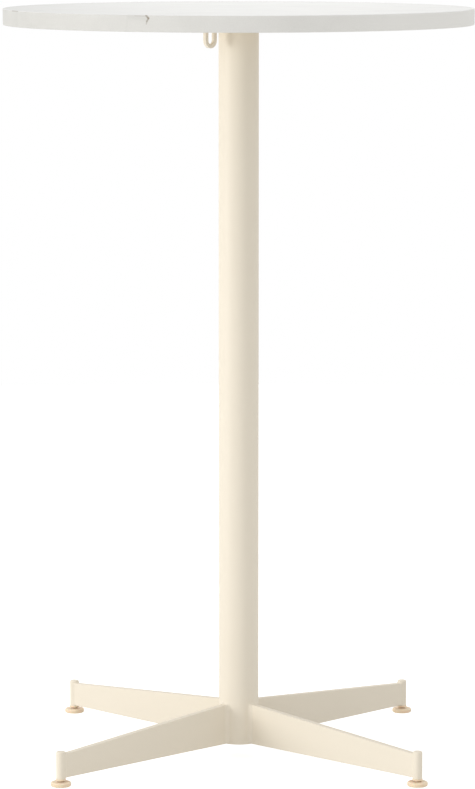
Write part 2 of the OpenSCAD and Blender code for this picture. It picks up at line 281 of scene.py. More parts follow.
def stone_slab():
    """Round slab with eased edges, whose upper and lower arris wander and carry small bruises.

    (v, t) -> the turned outline, drawn in near each arris by a wander of ARRIS_WANDER times
    (sin 37t + sin (61t + 1) + sin (113t + 2)) / 3, and by bell-shaped bruises of BRUISE_DEPTH, each
    (0.7 + 0.5 sin 7a) BRUISE_W wide at its angle a. Nothing is pushed out.
    """
    segments = 1080
    t = around(segments)
    wander = ARRIS_WANDER * (np.sin(37 * t) + np.sin(61 * t + 1) + np.sin(113 * t + 2)) / 3
    bruise_at = np.array(BRUISE_ANGLES)[:, None]
    gap = np.angle(np.exp(1j * (t - bruise_at)))
    bruise_w = (0.7 + 0.5 * np.sin(7 * bruise_at)) * BRUISE_W / STONE_R
    bruises = BRUISE_DEPTH * np.exp(-((gap / bruise_w) ** 2)).sum(axis=0)
    rings = np.array([0.0, 0.06, 0.12, 0.18, 0.24, 0.29, 0.33, 0.345])
    top = np.column_stack([rings, np.full(len(rings), STONE_TOP)])
    low = np.column_stack([rings[::-1], np.full(len(rings), STONE_LOW)])
    rim = STONE_R - STONE_EDGE_R
    side = np.linspace(STONE_TOP - 2 * STONE_EDGE_R, STONE_LOW + 2 * STONE_EDGE_R, 7)
    line = outline(
        top,
        arc(rim, STONE_TOP - STONE_EDGE_R, STONE_EDGE_R, 90, 0, 9),
        np.column_stack([np.full(len(side), STONE_R), side]),
        arc(rim, STONE_LOW + STONE_EDGE_R, STONE_EDGE_R, 0, -90, 9),
        low,
    )
    depth = np.minimum(STONE_TOP - line[:, 1], line[:, 1] - STONE_LOW) + STONE_R - line[:, 0]
    near_arris = np.exp(-((depth - 0.6 * STONE_EDGE_R) / (0.6 * MM)) ** 2)
    drawn_in = near_arris[:, None] * (wander + bruises)
    radius = line[:, :1] - np.maximum(drawn_in, 0)
    return lathe("stone_slab", radius, line[:, 1], segments=segments, crease=30)


# Column and its welds


def column_tube():
    """Tube: the turned outline of its wall, with the outer lower edge eased."""
    bore = COLUMN_R - TUBE_WALL
    heights = np.linspace(COLUMN_LOW + 20 * MM, PLATE_UNDER, 24)
    line = outline(
        (bore, PLATE_UNDER),
        (bore, COLUMN_LOW + 0.3 * MM),
        (bore + 0.3 * MM, COLUMN_LOW),
        arc(COLUMN_R - TUBE_EDGE_R, COLUMN_LOW + TUBE_EDGE_R, TUBE_EDGE_R, -90, 0, 9),
        np.column_stack([np.full(len(heights), COLUMN_R), heights]),
    )
    return lathe("column_turned", line[:, 0], line[:, 1], segments=240)


def hollow(rho, steps, ripple):
    """A hollow weld's face in its own plane, from the upright surface to the flat one.

    Angle f, from 0 to 90 degrees -> (rho - reach cos f, rho - reach sin f), where reach is rho plus
    ripple times sin 2f, so that a frozen ripple is greatest half way. Rows follow ripple, columns f.
    """
    f = np.radians(np.linspace(0, 90, steps))
    reach = rho + ripple[:, None] * np.sin(2 * f)
    return rho - reach * np.cos(f), rho - reach * np.sin(f)


def ripples(travelled, pitch, depth):
    """Height of the frozen ripples along a weld: depth |sin| of half a turn for each pitch travelled."""
    return depth * np.abs(np.sin(math.pi * travelled / pitch))


def ring_weld(name, bar_outline, seat, rho, pitch, depth, centre=(0.0, 0.0)):
    """Hollow weld round a bar that meets a flat face above it.

    (t, f) -> the bar's outline r(t) moved out by the hollow's first term, at the height of the seat
    less its second. Behind the face the section runs back into the bar and up into the plate.
    """
    t = around(len(bar_outline))
    on_bar = np.column_stack([bar_outline * np.cos(t), bar_outline * np.sin(t)])
    steps = np.linalg.norm(np.diff(on_bar, axis=0), axis=1)
    travelled = np.concatenate([[0.0], np.cumsum(steps)])
    whole = travelled[-1] + steps[-1]
    swell = ripples(travelled, whole / round(whole / pitch), depth)
    out, down = hollow(rho, 9, swell)
    sunk = 0.5 * MM
    behind_out = np.array([rho, -sunk, -sunk])
    behind_down = np.array([-sunk, -sunk, rho])
    out = np.hstack([out, behind_out * np.ones((len(t), 1))])
    down = np.hstack([down, behind_down * np.ones((len(t), 1))])
    r = bar_outline[:, None] + out
    x = centre[0] + r * np.cos(t)[:, None]
    y = centre[1] + r * np.sin(t)[:, None]
    grid = np.stack([x, y, seat - down], axis=-1)
    return skin(name, grid, loop=True, crease=60)


def leg_weld(bar_r, low, top, fall, side_r, over_r, pitch, depth):
    """Hollow weld between a round bar and a leg on edge, up one side, over the top and down the other.

    Its path has a base point (y, z) on the leg's outline and a way out of the leg (cos a, sin a): a is 0
    on the sides, goes to 90 degrees round the eased upper edge and stays 90 on top. The section's
    arc has radius rho, which goes from side_r to over_r as sin a. Its centre stands rho off the leg
    and bar_r + rho from the bar's axis, and the arc starts where it meets the bar. The face lies
    between that arc and its chord, WELD_FLATNESS of the way to the chord, and stands up at its toes by
    the toe's height. On top the weld falls with the leg's edge. Returns the grid of points, with
    the bar's axis at x = 0.
    """
    half, edge = LEG_T / 2, LEG_EDGE_R
    rise = np.arange(low, top - edge, 0.45 * MM)
    bend = np.radians(np.linspace(0, 90, 13))
    across = np.linspace(half - edge, 0, 10)[1:]
    y = np.concatenate([np.full(len(rise), half), half - edge + edge * np.cos(bend), across])
    z = np.concatenate([rise, top - edge + edge * np.sin(bend), np.full(len(across), top)])
    a = np.concatenate([np.zeros(len(rise)), bend, np.full(len(across), math.pi / 2)])
    side = np.concatenate([np.ones(len(y)), -np.ones(len(y) - 1)])[:, None]
    y, z, a = (np.concatenate([v, v[-2::-1]])[:, None] for v in (y, z, a))
    steps = np.hypot(np.diff((side * y)[:, 0]), np.diff(z[:, 0]))
    travelled = np.concatenate([[0.0], np.cumsum(steps)])
    rho = side_r + (over_r - side_r) * np.sin(a)
    off_leg = np.cos(a)
    centre_x = np.sqrt((bar_r + rho) ** 2 - (y + rho * off_leg) ** 2)
    f = np.radians(np.linspace(0, 80, 401))
    from_axis = np.hypot(centre_x - rho * np.cos(f), y + (rho - rho * np.sin(f)) * off_leg)
    start = f[np.argmin(np.abs(from_axis - bar_r), axis=1)][:, None]
    share = np.linspace(0, 1, 12)
    f = start + (math.pi / 2 - start) * share
    swell = ripples(travelled, pitch, depth)[:, None] * np.sin(math.pi * share)
    x = centre_x - (rho - swell) * np.cos(f)
    height = rho - (rho - swell) * np.sin(f)
    chord_x = x[:, :1] + (x[:, -1:] - x[:, :1]) * share
    chord_height = height[:, :1] + (height[:, -1:] - height[:, :1]) * share
    bulge = WELD_FLATNESS * np.minimum(1, 6 * np.minimum(share, 1 - share))
    x = x + bulge * (chord_x - x)
    height = height + bulge * (chord_height - height)
    sunk = 0.6 * MM
    back_x = x[:, :1] - sunk
    x = np.hstack([x, x[:, -1:] - sunk / 2, back_x, back_x])
    height = np.hstack([height, np.full_like(back_x, -sunk), np.full_like(back_x, -sunk), height[:, :1]])
    drop = fall * (x - bar_r) * np.sin(a)
    return np.stack([x, side * (y + height * off_leg), z + height * np.sin(a) - drop], axis=-1)


# Threads, screws and glides


def thread(t, z, root_r, crest_r, pitch):
    """Radius of a right-hand screw thread at angle t and height z.

    The phase z / pitch - t / turn runs once from 0 to 1 in each pitch, and straight flanks stand about
    the phase 1/2. The thread fades in and out over a pitch at each end.
    """
    phase = np.mod(z[:, None] / pitch - t / TURN, 1.0)
    flank = np.clip(1.25 - 2.6 * np.abs(phase - 0.5), 0, 1)
    fade = np.clip((z - z[0]) / pitch, 0, 1) * np.clip((z[-1] - z) / pitch, 0, 1)
    return root_r + (crest_r - root_r) * flank * fade[:, None]


def glide_stud(foot):
    """Stud: flat head held in the pad, thin neck through the boss, M8 thread with a chamfered tip."""
    node = "glide_stud_" + foot
    low, high = (corner.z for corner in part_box(node))
    segments = 40
    t = around(segments)
    flat = np.ones(segments)
    z = np.arange(POST_LOW + 0.4 * MM, high - 1.0 * MM, STUD_PITCH / 9)
    ease = STUD_HEAD_EASE
    head = outline(
        (0, low),
        arc(STUD_HEAD_R - ease, low + ease, ease, -90, 0, 4),
        arc(STUD_HEAD_R - ease, low + STUD_HEAD_H - ease, ease, 0, 90, 4),
        (STUD_NECK_R, low + STUD_HEAD_H),
        (STUD_NECK_R, POST_LOW - 0.1 * MM),
        (STUD_ROOT_R, POST_LOW + 0.2 * MM),
    )
    tip = outline((STUD_ROOT_R, high - 0.8 * MM), (2.8 * MM, high), (0, high))
    threaded = thread(t, z, STUD_ROOT_R, STUD_CREST_R, STUD_PITCH)
    radius = np.vstack([head[:, :1] * flat, threaded, tip[:, :1] * flat])
    height = np.concatenate([head[:, 1], z, tip[:, 1]])
    return lathe(node + "_threaded", radius, height, middle(node), segments, 30)


def glide_collar(foot):
    """Collar with FLUTES finger flutes: its wall is drawn in by FLUTE_DEPTH |cos (FLUTES t / 2)|^6."""
    node = "glide_collar_" + foot
    low, high = (corner.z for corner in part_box(node))
    wall, ease = radius_of(node), COLLAR_EASE
    t = around(8 * FLUTES)
    line = outline(
        (COLLAR_BORE_R, high),
        (COLLAR_BORE_R, low),
        arc(wall - ease, low + ease, ease, -90, 0, 5),
        arc(wall - ease, high - ease, ease, 0, 90, 5),
    )
    outer = np.clip((line[:, :1] - wall + 2 * ease) / ease, 0, 1)
    radius = line[:, :1] - FLUTE_DEPTH * np.abs(np.cos(FLUTES / 2 * t)) ** 6 * outer
    return lathe(node + "_fluted", radius, line[:, 1], middle(node), len(t), 50)


def glide_pad(foot):
    """Pad: a turned outline from the grooved underside round the fat rim with its parting bead, down
    the dish, up the boss and back down the bore to the pocket of the stud's head.

    The dish is an arc of radius (half^2 + depth^2) / (2 depth) over its half width.
    """
    node = "glide_pad_" + foot
    pad_r = radius_of(node)
    boss_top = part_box(node)[1].z
    pocket_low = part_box("glide_stud_" + foot)[0].z - TURN_GAP
    pocket_top = pocket_low + PAD_POCKET_H
    low_r, top_r = 0.32 * PAD_H, 0.34 * PAD_H
    dish_out = pad_r - top_r - 0.3 * MM
    half = (dish_out - BOSS_R) / 2
    dish_r = (half**2 + DISH_DEPTH**2) / (2 * DISH_DEPTH)
    spread = math.degrees(math.asin(half / dish_r))
    groove = np.array([(-0.4, 0), (-0.2, 0.15), (0.2, 0.15), (0.4, 0)]) * MM
    line = outline(
        (0, 0),
        groove + (3.4 * MM, 0),
        groove + (9.6 * MM, 0),
        arc(pad_r - low_r, low_r, low_r, -90, -3, 14),
        arc(pad_r - 0.06 * MM, 0.46 * PAD_H, 0.12 * MM, -60, 60, 5),
        arc(pad_r - top_r, PAD_H - top_r, top_r, 0, 84, 16),
        (dish_out + 0.1 * MM, PAD_H - 0.02 * MM),
        arc(BOSS_R + half, PAD_H - DISH_DEPTH + dish_r, dish_r, spread - 90.5, -89.5 - spread, 14),
        arc(BOSS_R - 0.2 * MM, boss_top - 0.2 * MM, 0.2 * MM, 0, 90, 4),
        (PAD_BORE_R, boss_top),
        (PAD_BORE_R, pocket_top),
        (PAD_POCKET_R, pocket_top),
        (PAD_POCKET_R, pocket_low),
        (0, pocket_low),
    )
    return lathe(node + "_moulded", line[:, 0], line[:, 1], middle(node), 120, 35)


def plate_screw(name, place):
    """Countersunk screw: six-sided key recess, thin straight rim, 90 degree cone, then an M6 thread.

    The recess wall is r(t) = half the key over cos of (t mod 60 degrees, less 30), and the recess
    ends in a shallow drilled point.
    """
    segments = 72
    t = around(segments)
    tip = PLATE_UNDER + SCREW_LEN
    flat = np.ones(segments)
    key = KEY_ACROSS / 2 / np.cos(np.mod(t, math.pi / 3) - math.pi / 6)
    recess = np.array([0.0, 0.5, 1.0, 1.0, 1.04])[:, None] * key
    recess_z = PLATE_UNDER + np.array([KEY_DEPTH, KEY_DEPTH - 0.2 * MM, KEY_DEPTH - 0.3 * MM, 0.1 * MM, 0.0])
    ease = 0.12 * MM
    cone = outline(
        (0.7 * SCREW_HEAD_R, PLATE_UNDER),
        arc(SCREW_HEAD_R - ease, PLATE_UNDER + ease, ease, -90, 0, 4),
        (SCREW_HEAD_R, PLATE_UNDER + SCREW_RIM_H),
        (SCREW_R, PLATE_UNDER + SCREW_RIM_H + SCREW_HEAD_R - SCREW_R),
    )
    z = np.arange(cone[-1, 1] + 0.2 * MM, tip - 0.6 * MM, SCREW_PITCH / 8)
    threaded = thread(t, z, SCREW_ROOT_R, SCREW_R, SCREW_PITCH)
    end = np.array([2.5 * MM, 2.0 * MM, 0.0])[:, None]
    radius = np.vstack([recess, cone[:, :1] * flat, threaded, end * flat])
    height = np.concatenate([recess_z, cone[:, 1], z, [tip - 0.5 * MM, tip, tip]])
    return lathe(name, radius, height, place, segments, 30)


# Material tools


def add(tree, kind, **settings):
    """A new shader node. Settings are its properties, and the dictionary sockets sets its inputs."""
    sockets = settings.pop("sockets", {})
    made = tree.nodes.new(kind)
    for key, value in settings.items():
        setattr(made, key, value)
    for key, value in sockets.items():
        made.inputs[key].default_value = value
    return made


def feed(tree, value, socket):
    """Links a socket, or sets a plain value."""
    if isinstance(value, bpy.types.NodeSocket):
        tree.links.new(value, socket)
    else:
        socket.default_value = value


def maths(tree, operation, a, b, clamp=False):
    """a and b under one arithmetic operation, held to 0..1 if clamp is set."""
    made = add(tree, "ShaderNodeMath", operation=operation, use_clamp=clamp)
    feed(tree, a, made.inputs[0])
    feed(tree, b, made.inputs[1])
    return made.outputs[0]


def vectors(tree, operation, a, b, output="Vector"):
    """Two vectors under one operation."""
    made = add(tree, "ShaderNodeVectorMath", operation=operation)
    feed(tree, a, made.inputs[0])
    feed(tree, b, made.inputs["Scale" if operation == "SCALE" else 1])
    return made.outputs[output]


def noise(tree, where, scale, detail=2.0, roughness=0.5, distortion=0.0):
    """Smooth noise from 0 to 1 about 1/2."""
    sockets = {"Detail": detail, "Roughness": roughness, "Distortion": distortion}
    made = add(tree, "ShaderNodeTexNoise", sockets=sockets)
    feed(tree, where, made.inputs["Vector"])
    feed(tree, scale, made.inputs["Scale"])
    return made.outputs[0]


def blend(tree, a, b, share):
    """Colour that goes from a to b with share."""
    made = add(tree, "ShaderNodeMix", data_type="RGBA")
    feed(tree, share, made.inputs["Factor"])
    for value, socket in ((a, made.inputs[6]), (b, made.inputs[7])):
        feed(tree, (*value, 1.0) if isinstance(value, tuple) else value, socket)
    return made.outputs[2]


def new_group(name, inputs, outputs):
    """An empty node group. Inputs map a name to its default, a plain value or a vector, where None
    leaves a vector's own default. Outputs are plain values."""
    group = bpy.data.node_groups.new(name, "ShaderNodeTree")
    for label, default in inputs.items():
        kind = "NodeSocketFloat" if isinstance(default, float) else "NodeSocketVector"
        socket = group.interface.new_socket(label, in_out="INPUT", socket_type=kind)
        if default is not None:
            socket.default_value = default
    for label in outputs:
        group.interface.new_socket(label, in_out="OUTPUT", socket_type="NodeSocketFloat")
    given = group.nodes.new("NodeGroupInput").outputs
    return group, given, group.nodes.new("NodeGroupOutput").inputs


def use(tree, group, **values):
    """The outputs of a node group placed in a material with its own values."""
    made = add(tree, "ShaderNodeGroup", node_tree=group)
    for label, value in values.items():
        feed(tree, value, made.inputs[label])
    return made.outputs


def start_material(name, roughness, metallic=0.0, **constants):
    """A new material: itself, its tree, its surface shader and Object coordinates."""
    made = bpy.data.materials.new(name)
    made.use_nodes = True
    tree = made.node_tree
    surface = tree.nodes["Principled BSDF"]
    surface.inputs["Roughness"].default_value = roughness
    surface.inputs["Metallic"].default_value = metallic
    for label, value in constants.items():
        surface.inputs[label.replace("_", " ")].default_value = value
    return made, tree, surface, add(tree, "ShaderNodeTexCoord").outputs["Object"]


def set_bump(tree, surface, height, strength, distance):
    """Relief from height."""
    made = add(tree, "ShaderNodeBump", sockets={"Strength": strength, "Distance": distance})
    feed(tree, height, made.inputs["Height"])
    feed(tree, made.outputs[0], surface.inputs["Normal"])


# Shared effects


def skin_texture():
    """Skin of a coated, moulded or plated surface. Relief mixes a coarse and a fine noise, and Mottle,
    about 0, adds a large cloud to the fine one."""
    inputs = {"Vector": None, "Coarse": 420.0, "Fine": 1500.0, "Cloud": 9.0}
    group, given, out = new_group("skin_texture", inputs, ["Relief", "Mottle"])
    coarse = noise(group, given["Vector"], given["Coarse"], 1.0, 0.4)
    fine = noise(group, given["Vector"], given["Fine"])
    cloud = noise(group, given["Vector"], given["Cloud"], 3.0, 0.55)
    coarse_part = maths(group, "MULTIPLY", coarse, 0.75)
    relief = maths(group, "ADD", coarse_part, maths(group, "MULTIPLY", fine, 0.25))
    mottle = maths(group, "SUBTRACT", maths(group, "ADD", fine, cloud), 1.0)
    feed(group, relief, out["Relief"])
    feed(group, mottle, out["Mottle"])
    return group


def rubbed_edges():
    """Mask of edges: how far the surface normal turns from the one averaged over Reach, times Gain."""
    group, given, out = new_group("rubbed_edges", {"Reach": 0.0012, "Gain": 2.0}, ["Mask"])
    averaged = add(group, "ShaderNodeBevel", samples=8)
    feed(group, given["Reach"], averaged.inputs["Radius"])
    normal = add(group, "ShaderNodeNewGeometry").outputs["Normal"]
    alike = vectors(group, "DOT_PRODUCT", averaged.outputs[0], normal, "Value")
    turn = maths(group, "MULTIPLY", maths(group, "SUBTRACT", 1.0, alike), given["Gain"])
    feed(group, maths(group, "MINIMUM", turn, 1.0), out["Mask"])
    return group


def stone_body():
    """Pale dense stone. Shade, about 0, adds specks and clouds and takes away veins, where a stretched
    noise passes through its middle value and a second noise lets it show. Tooth is the honed
    surface's relief."""
    inputs = {"Vector": None, "Specks": 1.0, "Clouds": 1.0, "Veins": 1.0}
    group, given, out = new_group("stone_body", inputs, ["Shade", "Tooth"])
    speck = noise(group, given["Vector"], 750.0, 2.0, 0.65)
    cloud = noise(group, given["Vector"], 14.0, 5.0, 0.6, 0.6)
    stretch = {"Rotation": (0.0, 0.0, 0.5), "Scale": (0.55, 1.5, 1.0)}
    lie = add(group, "ShaderNodeMapping", sockets=stretch)
    feed(group, given["Vector"], lie.inputs["Vector"])
    ridge = noise(group, lie.outputs[0], 4.2, 4.0, 0.5, 1.6)
    off_ridge = maths(group, "ABSOLUTE", maths(group, "SUBTRACT", ridge, 0.5), 0.0)
    vein = maths(group, "SUBTRACT", 1.0, maths(group, "DIVIDE", off_ridge, 0.012), clamp=True)
    gate = maths(group, "SUBTRACT", noise(group, given["Vector"], 5.5), 0.52)
    shown = maths(group, "MULTIPLY", gate, 6.0, clamp=True)
    veins = maths(group, "MULTIPLY", maths(group, "MULTIPLY", vein, shown), given["Veins"])
    specks = maths(group, "MULTIPLY", maths(group, "SUBTRACT", speck, 0.5), given["Specks"])
    clouds = maths(group, "MULTIPLY", maths(group, "SUBTRACT", cloud, 0.5), given["Clouds"])
    feed(group, maths(group, "SUBTRACT", maths(group, "ADD", specks, clouds), veins), out["Shade"])
    feed(group, speck, out["Tooth"])
    return group


def stone_mark():
    """Mask of a fissure or streak from Start to End: Strength times 1 less the distance to that line
    over Width, after the place is shaken by noise of size Wander."""
    inputs = {
        "Vector": None,
        "Start": (0, 0, 0),
        "End": (0, 0, 1),
        "Width": 0.001,
        "Wander": 0.002,
        "Strength": 1.0,
    }
    group, given, out = new_group("stone_mark", inputs, ["Mask"])
    shake = add(group, "ShaderNodeTexNoise", sockets={"Scale": 55.0, "Detail": 3.0})
    feed(group, given["Vector"], shake.inputs["Vector"])
    about_nought = vectors(group, "SUBTRACT", shake.outputs["Color"], (0.5, 0.5, 0.5))
    shaken = vectors(group, "SCALE", about_nought, given["Wander"])
    place = vectors(group, "ADD", given["Vector"], shaken)
    from_start = vectors(group, "SUBTRACT", place, given["Start"])
    whole = vectors(group, "SUBTRACT", given["End"], given["Start"])
    along = vectors(group, "DOT_PRODUCT", from_start, whole, "Value")
    length_squared = vectors(group, "DOT_PRODUCT", whole, whole, "Value")
    share = maths(group, "DIVIDE", along, length_squared, clamp=True)
    off = vectors(group, "DISTANCE", from_start, vectors(group, "SCALE", whole, share), "Value")
    near = maths(group, "SUBTRACT", 1.0, maths(group, "DIVIDE", off, given["Width"]), clamp=True)
    feed(group, maths(group, "MULTIPLY", near, given["Strength"]), out["Mask"])
    return group


SKIN, EDGES, BODY, MARK = skin_texture(), rubbed_edges(), stone_body(), stone_mark()

# Finishes. A stone mark is its start, its end, its width, its wander and its strength.

FISSURES = (
    ((-0.1309, -0.3237, 1.1192), (-0.1277, -0.3259, 1.1155), 2.2 * MM, 0.4 * MM, 1.0),
    ((-0.1277, -0.3259, 1.1155), (-0.1300, -0.3250, 1.1114), 2.0 * MM, 0.4 * MM, 0.75),
    ((-0.1300, -0.3250, 1.1114), (-0.1307, -0.3247, 1.1078), 1.6 * MM, 0.5 * MM, 0.40),
    ((-0.1470, -0.3176, 1.1188), (-0.1335, -0.3235, 1.1185), 1.3 * MM, 0.4 * MM, 0.25),
    ((-0.3300, -0.1158, 1.1194), (-0.3205, -0.1398, 1.1192), 1.4 * MM, 0.4 * MM, 0.45),
)
STREAKS = (
    # The first streak, beside the rim fissure, is painted shade of a chip in the arris
    ((-0.1550, -0.3138, 1.1170), (-0.1325, -0.3240, 1.1150), 5 * MM, 2 * MM, 0.55),
    ((-0.030, 0.115, 1.12), (0.020, 0.088, 1.12), 12 * MM, 20 * MM, 0.28),
    ((0.020, 0.088, 1.12), (0.046, 0.098, 1.12), 9 * MM, 16 * MM, 0.22),
    ((0.165, -0.075, 1.12), (0.215, -0.052, 1.12), 8 * MM, 14 * MM, 0.24),
    ((0.238, 0.072, 1.12), (0.272, 0.096, 1.12), 9 * MM, 16 * MM, 0.30),
    ((0.290, 0.036, 1.12), (0.331, 0.020, 1.12), 8 * MM, 14 * MM, 0.30),
    ((-0.290, -0.118, 1.12), (-0.225, -0.182, 1.12), 7 * MM, 14 * MM, 0.22),
)


def powder_coat():
    """Cream powder coat: mottled, thinner and paler on edges, with an orange-peel skin."""
    made, tree, surface, where = start_material("powder_coat", 0.46, Specular_IOR_Level=0.25)
    texture = use(tree, SKIN, Vector=where)
    edge = use(tree, EDGES, Reach=1.2 * MM, Gain=2.2)["Mask"]
    tone = maths(tree, "ADD", maths(tree, "MULTIPLY", texture["Mottle"], 0.55), 0.5, clamp=True)
    colour = blend(tree, (0.825, 0.748, 0.62), (0.86, 0.787, 0.66), tone)
    colour = blend(tree, colour, (0.88, 0.825, 0.72), maths(tree, "MULTIPLY", edge, 0.5))
    feed(tree, colour, surface.inputs["Base Color"])
    roughness = maths(tree, "ADD", maths(tree, "MULTIPLY", texture["Mottle"], 0.12), 0.46)
    feed(tree, roughness, surface.inputs["Roughness"])
    set_bump(tree, surface, texture["Relief"], 0.22, 0.3 * MM)
    return made


def honed_stone():
    """Honed stone: specks, clouds and veins, fissures, streaks, and a slow drift of tone across the slab,
    which on the edge is painted shade and light.

    The drift is 0.42 x - 1.9 x^2 on the upper face and 1.65 x on the edge, which is warmer too. The edge's
    steep drift and lower level are painted shade on its left and painted light on its right.
    """
    made, tree, surface, where = start_material("stone", 0.55, Specular_IOR_Level=0.15)
    body = use(tree, BODY, Vector=where, Specks=0.8, Clouds=0.8, Veins=0.32)
    axes = add(tree, "ShaderNodeSeparateXYZ")
    feed(tree, where, axes.inputs[0])
    on_edge = maths(tree, "GREATER_THAN", STONE_TOP - 0.6 * MM, axes.outputs["Z"])
    on_top = maths(tree, "SUBTRACT", 1.0, on_edge)
    bow = maths(tree, "MULTIPLY", maths(tree, "MULTIPLY", axes.outputs["X"], -1.9), on_top)
    # On the edge the steep slope and the lower level are painted shade on the left and painted light on the
    # right, standing in for how the lamps fall on the edge
    slope = maths(tree, "ADD", maths(tree, "MULTIPLY", on_edge, 1.65 - 0.42), 0.42)
    drift = maths(tree, "MULTIPLY", axes.outputs["X"], maths(tree, "ADD", slope, bow))
    level = maths(tree, "SUBTRACT", 0.745, maths(tree, "MULTIPLY", on_edge, 0.085))
    shade = maths(tree, "MULTIPLY", body["Shade"], 0.36)
    light = maths(tree, "ADD", maths(tree, "ADD", shade, drift), level, clamp=True)
    colour = blend(tree, (0.56, 0.558, 0.54), (0.875, 0.873, 0.854), light)
    for lines, tone in ((FISSURES, (0.235, 0.19, 0.135)), (STREAKS, (0.60, 0.60, 0.585))):
        for start, end, width, wander, strength in lines:
            values = {"Start": start, "End": end, "Width": width, "Wander": wander, "Strength": strength}
            mask = use(tree, MARK, Vector=where, **values)["Mask"]
            colour = blend(tree, colour, tone, mask)
    warmth = blend(tree, (1.0, 1.0, 1.0), (1.0, 0.988, 0.965), on_edge)
    feed(tree, vectors(tree, "MULTIPLY", colour, warmth), surface.inputs["Base Color"])
    roughness = maths(tree, "ADD", maths(tree, "MULTIPLY", body["Tooth"], 0.10), 0.50)
    feed(tree, roughness, surface.inputs["Roughness"])
    set_bump(tree, surface, body["Tooth"], 0.10, 0.2 * MM)
    return made


def ramp(tree, value, low, width):
    """0 up to low, then straight up to 1 over the width above it."""
    return maths(tree, "DIVIDE", maths(tree, "SUBTRACT", value, low), width, clamp=True)


def moulded_nylon():
    """Peach nylon: faint flow clouds and a fine spark-eroded skin. It is rubbed paler on its edges. Its
    upper rim is painted paler as a painted highlight. Its recess between pad and collar is painted brown as
    painted shade.

    The painted shade lies within the recess shade radius of a foot's axis. All four feet are found at once,
    from |x| and |y|.
    """
    made, tree, surface, where = start_material(
        "nylon", 0.55, Specular_IOR_Level=0.25, Subsurface_Weight=0.08, Subsurface_Scale=0.002
    )
    texture = use(tree, SKIN, Vector=where, Coarse=900.0, Fine=3200.0, Cloud=60.0)
    edge = use(tree, EDGES, Reach=0.6 * MM, Gain=1.6)["Mask"]
    tone = maths(tree, "ADD", maths(tree, "MULTIPLY", texture["Mottle"], 0.8), 0.5, clamp=True)
    colour = blend(tree, (0.845, 0.665, 0.465), (0.89, 0.725, 0.525), tone)
    colour = blend(tree, colour, (0.92, 0.78, 0.60), maths(tree, "MULTIPLY", edge, 0.4))
    # Painted shade: the recess under the collar's overhang is painted brown where its shadow falls
    foot_x, foot_y = (abs(value) for value in middle("foot_post_front_left"))
    folded = vectors(tree, "MULTIPLY", vectors(tree, "ABSOLUTE", where, where), (1.0, 1.0, 0.0))
    off_axis = vectors(tree, "DISTANCE", folded, (foot_x, foot_y, 0.0), "Value")
    inside = maths(tree, "DIVIDE", maths(tree, "SUBTRACT", RECESS_SHADE_R, off_axis), 1.0 * MM, clamp=True)
    axes = add(tree, "ShaderNodeSeparateXYZ")
    feed(tree, where, axes.inputs[0])
    height = axes.outputs["Z"]
    above = ramp(tree, height, PAD_H - 0.7 * MM, 0.5 * MM)
    room = maths(tree, "SUBTRACT", COLLAR_LOW + 0.3 * MM, height)
    below = maths(tree, "DIVIDE", room, 0.3 * MM, clamp=True)
    painted_recess_shade = maths(tree, "MULTIPLY", inside, maths(tree, "MULTIPLY", above, below))
    # Painted highlight: the pad's upper rim is painted paler where it catches the light from above
    painted_rim_highlight = ramp(tree, height, 0.66 * PAD_H, 0.2 * PAD_H)
    colour = blend(tree, colour, (0.95, 0.81, 0.63), maths(tree, "MULTIPLY", painted_rim_highlight, 0.55))
    # Painted shade, brown, in the recess between pad and collar
    colour = blend(tree, colour, (0.34, 0.22, 0.15), maths(tree, "MULTIPLY", painted_recess_shade, 0.5))
    feed(tree, colour, surface.inputs["Base Color"])
    set_bump(tree, surface, texture["Relief"], 0.15, 0.1 * MM)
    return made


def plated(name, bright, dull, roughness):
    """Turned and plated metal: streaks stretched along the axis, duller low spots, brighter edges."""
    made, tree, surface, where = start_material(name, roughness, metallic=1.0)
    lie = add(tree, "ShaderNodeMapping", sockets={"Scale": (1.0, 1.0, 0.25)})
    feed(tree, where, lie.inputs["Vector"])
    texture = use(tree, SKIN, Vector=lie.outputs[0], Coarse=300.0, Fine=1400.0, Cloud=40.0)
    edge = use(tree, EDGES, Reach=0.5 * MM, Gain=1.8)["Mask"]
    colour = blend(tree, dull, bright, maths(tree, "ADD", texture["Mottle"], 0.5, clamp=True))
    shine = tuple(min(1.0, 1.12 * value) for value in bright)
    colour = blend(tree, colour, shine, maths(tree, "MULTIPLY", edge, 0.5))
    feed(tree, colour, surface.inputs["Base Color"])
    varied = maths(tree, "ADD", maths(tree, "MULTIPLY", texture["Mottle"], 0.2), roughness)
    feed(tree, varied, surface.inputs["Roughness"])
    set_bump(tree, surface, texture["Relief"], 0.12, 0.1 * MM)
    return made


FINISHES = {
    "powder_coat": powder_coat(),
    "stone": honed_stone(),
    "nylon": moulded_nylon(),
    "zinc": plated("zinc", (0.66, 0.67, 0.69), (0.50, 0.51, 0.53), 0.34),
    "brass": plated("brass", (0.74, 0.57, 0.27), (0.60, 0.44, 0.19), 0.32),
}

# The table put together


def dress(piece, body, finish, *nodes):
    """Gives a new piece its finish and its body, and lets it stand for its nodes."""
    piece.data.materials.append(FINISHES[finish])
    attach(piece, body)
    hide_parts(*nodes)


def dress_nodes():
    """Gives each node of the frame the finish that the record names."""
    for part in frame["record"]["subparts"]:
        node = frame["nodes"][part["node"]]
        for slot in node.material_slots:
            slot.material = FINISHES[part["material_slot"]]


